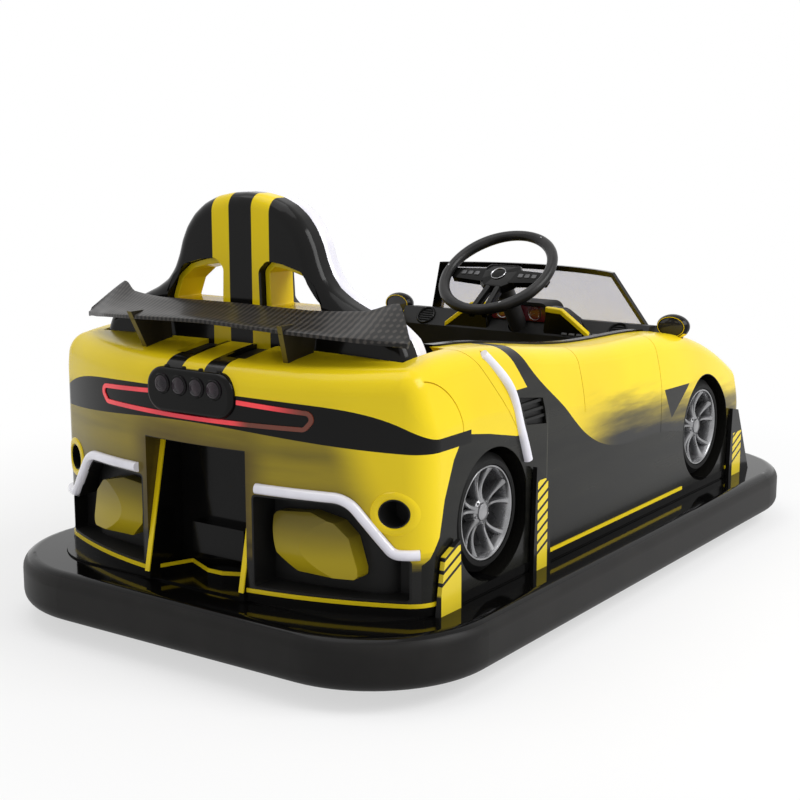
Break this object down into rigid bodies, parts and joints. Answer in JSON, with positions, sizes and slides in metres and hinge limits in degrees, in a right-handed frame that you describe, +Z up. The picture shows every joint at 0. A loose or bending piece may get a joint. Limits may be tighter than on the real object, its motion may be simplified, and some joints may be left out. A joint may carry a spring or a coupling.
{
  "type": "bumper car",
  "caption": "Battery bumper car shaped like a small open sports car, with a rubber ring all round, a high-backed seat, a steering wheel, a windscreen and a rear wing.",
  "frame": {"origin": "on the floor under the middle of the bumper ring", "axes": "+X forward, +Y to the driver's left, +Z up"},
  "size_m": [2, 1.177, 0.947],
  "materials": {
    "battery_case": "satin",
    "yellow_paint": "high gloss two-tone paint",
    "ring_rubber": "satin moulded rubber, polished top",
    "frame_steel": "black powder coat",
    "black_gloss": "high gloss",
    "black_satin": "satin",
    "alloy": "cast and machined",
    "tyre": "matte rubber",
    "rim_grey": "metallic grey paint",
    "lamp_clear": "clear lamp cover",
    "lens": "dark lens",
    "light_white": "milky light strip",
    "seat_leather": "padded artificial leather",
    "lamp_red": "lit red strip",
    "glass": "clear tinted sheet",
    "carbon": "lacquered twill"
  },
  "bodies": {
    "car": {"battery": "battery_case", "body_front": "yellow_paint", "body_side_left": "yellow_paint", "body_side_right": "yellow_paint", "body_tail": "yellow_paint", "bumper_ring": "ring_rubber", "chassis_frame": "frame_steel", "cockpit_rim": "black_gloss", "corner_fins": "black_gloss", "corner_liners": "black_satin", "dashboard": "black_satin", "deck": "black_gloss", "drive_bridge": "frame_steel", "dummy_rims": "rim_grey", "dummy_tyres": "tyre", "flank_panels": "black_gloss", "front_grille": "black_satin", "headlamps": "lamp_clear", "lamp_lenses": "lens", "lamp_pod": "black_gloss", "light_tubes": "light_white", "mirror_left": "black_gloss", "mirror_right": "black_gloss", "pedals": "frame_steel", "rear_axle": "frame_steel", "rear_diffuser": "black_gloss", "seat_back_pad": "seat_leather", "seat_base": "black_gloss", "seat_cushion": "seat_leather", "seat_shell": "black_gloss", "skirt_foot": "black_gloss", "skirt_trim": "yellow_paint", "slot_liners": "yellow_paint", "steering_column": "frame_steel", "tail_band": "black_gloss", "tail_barrels": "yellow_paint", "tail_lamps": "lamp_red", "vents": "black_satin", "windscreen_frame": "black_gloss", "windscreen_glass": "glass", "wing_blade": "carbon", "wing_struts": "carbon"},
    "steering": {"steering_wheel": "black_gloss"},
    "drive_fork": {"drive_fork": "frame_steel"},
    "drive_wheel": {"drive_tyre": "tyre", "drive_hub": "alloy"},
    "rear_wheel_left": {"rear_tyre_left": "tyre", "rear_hub_left": "alloy"},
    "rear_wheel_right": {"rear_tyre_right": "tyre", "rear_hub_right": "alloy"}
  },
  "joints": [
    {"name": "steering_turn", "type": "hinge", "parent": "car", "child": "steering", "pos_m": [0.265, 0, 0.699], "axis": [-0.585, 0, 0.8111], "continuous": true},
    {"name": "fork_turn", "type": "hinge", "parent": "car", "child": "drive_fork", "pos_m": [0.56, 0, 0.2], "axis": [0, 0, 1], "continuous": true},
    {"name": "drive_roll", "type": "hinge", "parent": "drive_fork", "child": "drive_wheel", "pos_m": [0.56, 0, 0.08], "axis": [0, 1, 0], "continuous": true},
    {"name": "rear_roll_left", "type": "hinge", "parent": "car", "child": "rear_wheel_left", "pos_m": [-0.47, 0.34, 0.0625], "axis": [0, 1, 0], "continuous": true},
    {"name": "rear_roll_right", "type": "hinge", "parent": "car", "child": "rear_wheel_right", "pos_m": [-0.47, -0.34, 0.0625], "axis": [0, 1, 0], "continuous": true}
  ],
  "couplings": [
    {"joint": "steering_turn", "follows": "fork_turn", "ratio": 1}
  ]
}
